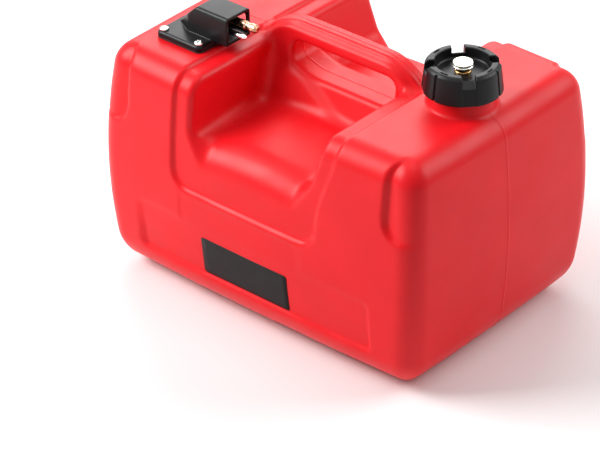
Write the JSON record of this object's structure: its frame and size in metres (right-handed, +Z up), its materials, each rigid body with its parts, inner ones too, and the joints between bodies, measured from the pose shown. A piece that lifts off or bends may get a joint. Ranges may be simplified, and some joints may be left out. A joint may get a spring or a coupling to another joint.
{
  "type": "outboard fuel tank",
  "caption": "Portable blow-moulded fuel tank for an outboard motor, with a bridge handle over a hand well, a vented screw cap and a hooded hose fitting.",
  "frame": {"origin": "bottom centre of the whole tank, on the ground", "axes": "+X towards the filler cap's end, +Z up, the hose fitting in the -X -Y corner"},
  "size_m": [0.355, 0.2554, 0.2566],
  "materials": {
    "tank_plastic": "satin red polyethylene, finely grained",
    "black_plastic": "black glass-filled nylon, half gloss",
    "liner_plastic": "natural white plastic disc",
    "tube_plastic": "natural white plastic",
    "seal_rubber": "black nitrile rubber",
    "brass": "turned brass",
    "clip_steel": "plain stainless steel",
    "screw_steel": "bright zinc-plated steel",
    "pin_chrome": "polished chrome",
    "gauze_steel": "fine stainless gauze",
    "label_film": "black satin film, bare"
  },
  "bodies": {
    "tank": {"tank_body": "tank_plastic", "fitting_housing": "black_plastic", "fitting_gasket": "seal_rubber", "plate_screws": "screw_steel", "screw_inserts": "brass", "fuel_nipple": "brass", "guide_pin": "pin_chrome", "pickup_tube": "tube_plastic", "pickup_strainer": "tube_plastic", "strainer_mesh": "gauze_steel", "strainer_cap": "tube_plastic", "label_plate": "label_film"},
    "gasket": {"cap_gasket": "seal_rubber"},
    "liner": {"cap_liner": "liner_plastic"},
    "cap": {"filler_cap": "black_plastic", "vent_seat": "brass"},
    "vent_seal": {"vent_o_ring": "seal_rubber"},
    "vent": {"vent_knob": "brass", "vent_screw": "brass", "vent_clip": "clip_steel"}
  },
  "joints": [
    {"name": "cap_lift", "type": "slide", "parent": "tank", "child": "gasket", "axis": [0, 0, 1], "range_m": [0, 0.05]},
    {"name": "cap_rise", "type": "slide", "parent": "gasket", "child": "liner", "axis": [0, 0, 1], "range_m": [0, 0.009]},
    {"name": "cap_turn", "type": "hinge", "parent": "liner", "child": "cap", "pos_m": [0.125, 0, 0.232], "axis": [0, 0, 1], "range_deg": [0, 540]},
    {"name": "vent_rise", "type": "slide", "parent": "cap", "child": "vent_seal", "axis": [0, 0, 1], "range_m": [0, 0.0025]},
    {"name": "vent_turn", "type": "hinge", "parent": "vent_seal", "child": "vent", "pos_m": [0.125, 0, 0.25], "axis": [0, 0, 1], "range_deg": [0, 720]}
  ],
  "couplings": [
    {"joint": "cap_rise", "follows": "cap_turn", "m_per_rad": 0.00095493},
    {"joint": "vent_rise", "follows": "vent_turn", "m_per_rad": 0.00019894}
  ]
}
